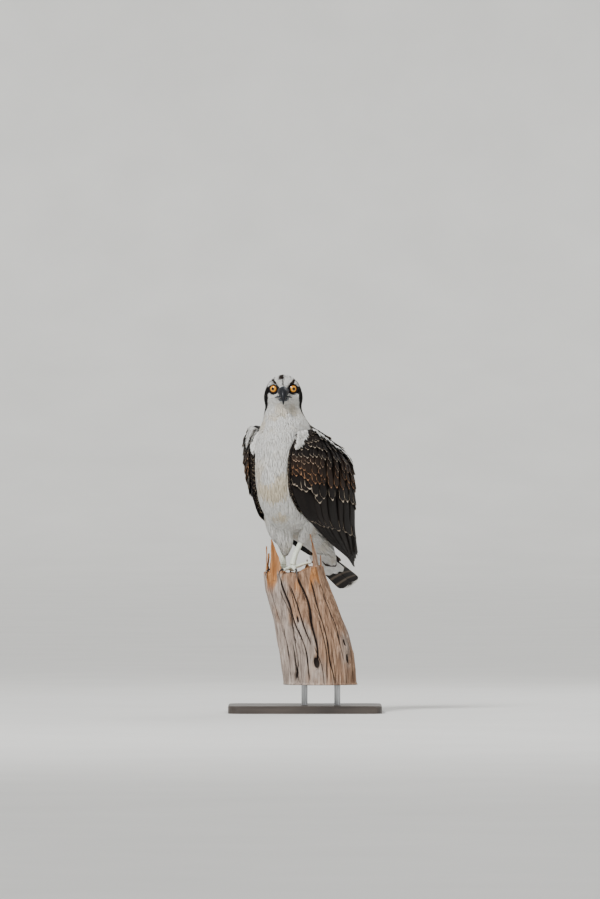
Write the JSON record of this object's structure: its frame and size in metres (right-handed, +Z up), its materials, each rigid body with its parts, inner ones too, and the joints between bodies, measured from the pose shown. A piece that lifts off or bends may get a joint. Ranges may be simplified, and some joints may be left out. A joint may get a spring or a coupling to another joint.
{
  "type": "osprey model",
  "caption": "Life-size still model of an osprey standing on a short cut length of dead trunk, held by two short rods on a flat display base",
  "frame": {"origin": "centre of the flat underside of the display base", "axes": "+Z up, +X to the viewer's right, -Y towards the viewer, whom the head faces; the body is turned 27 degrees to the viewer's left"},
  "size_m": [0.3, 0.3639, 0.661],
  "materials": {
    "plumage_white": "soft white body feathers",
    "plumage_dark": "dark brown feathers with pale edges",
    "bill_horn": "blue-black horn, half gloss",
    "eye": "glossy orange-yellow eye",
    "foot_skin": "pale grey-green scaly skin",
    "claw_horn": "black horn, half gloss",
    "dead_wood": "weathered, cracked dead wood",
    "stand_wood": "dark stained wood, satin",
    "stand_steel": "brushed steel rod"
  },
  "bodies": {
    "root": {"torso": "plumage_white", "neck": "plumage_white", "head": "plumage_white", "thigh_left": "plumage_white", "thigh_right": "plumage_white", "wing_left": "plumage_dark", "wing_right": "plumage_dark", "tail": "plumage_dark", "bill_upper": "bill_horn", "bill_lower": "bill_horn", "eye_left": "eye", "eye_right": "eye", "tarsus_left": "foot_skin", "tarsus_right": "foot_skin", "foot_left": "foot_skin", "foot_right": "foot_skin", "claw_left_inner": "claw_horn", "claw_left_middle": "claw_horn", "claw_left_outer": "claw_horn", "claw_left_hallux": "claw_horn", "claw_right_inner": "claw_horn", "claw_right_middle": "claw_horn", "claw_right_outer": "claw_horn", "claw_right_hallux": "claw_horn", "perch": "dead_wood", "stand_base": "stand_wood", "stand_rod_left": "stand_steel", "stand_rod_right": "stand_steel"}
  },
  "joints": []
}
